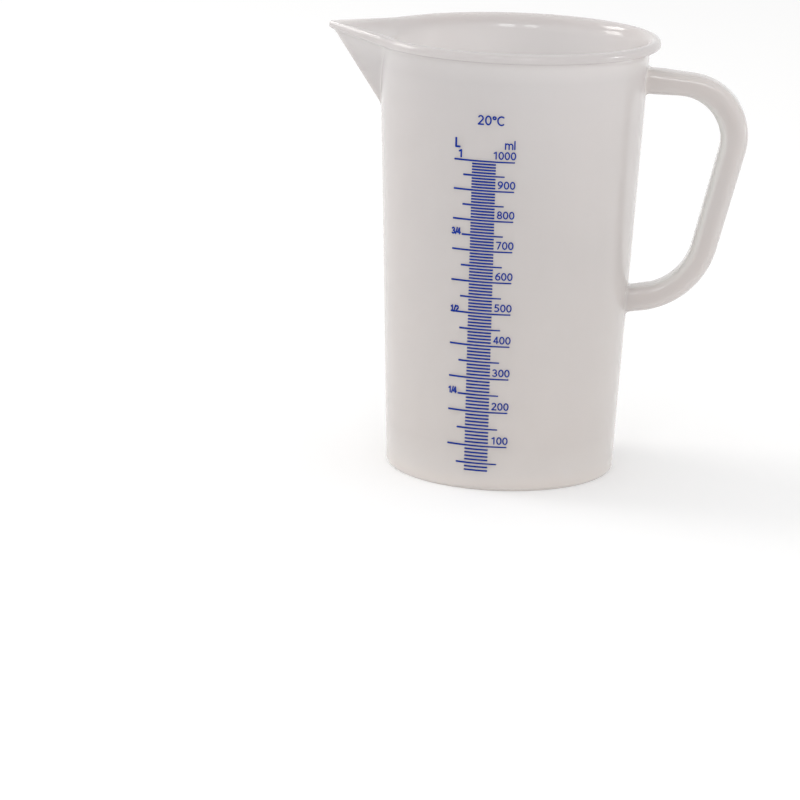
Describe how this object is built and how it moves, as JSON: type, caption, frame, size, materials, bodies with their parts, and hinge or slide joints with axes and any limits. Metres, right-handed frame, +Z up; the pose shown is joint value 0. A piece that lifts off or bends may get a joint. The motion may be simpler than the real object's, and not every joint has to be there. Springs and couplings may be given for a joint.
{
  "type": "measuring jug",
  "caption": "Translucent tapered measuring jug with a flared lip, a V-shaped pouring spout, a closed side handle and a printed volume scale.",
  "frame": {"origin": "on the vessel's axis, at the plane of the foot ring that it stands on", "axes": "+Z up along the vessel's axis, +X towards the handle, -X towards the spout, the printed scale on the -Y side"},
  "size_m": [0.1737, 0.1194, 0.184],
  "materials": {
    "natural_pp": "uncoloured milky polypropylene, semi-gloss, light passes through diffusely",
    "blue_ink": "dark blue screen-printing ink, satin"
  },
  "bodies": {
    "root": {"base": "natural_pp", "body_wall": "natural_pp", "rim_lip": "natural_pp", "pouring_spout": "natural_pp", "handle": "natural_pp", "scale_ticks_10ml": "blue_ink", "scale_ticks_50ml": "blue_ink", "scale_ticks_100ml": "blue_ink", "scale_numerals": "blue_ink", "litre_marks": "blue_ink", "unit_marks": "blue_ink"}
  },
  "joints": []
}
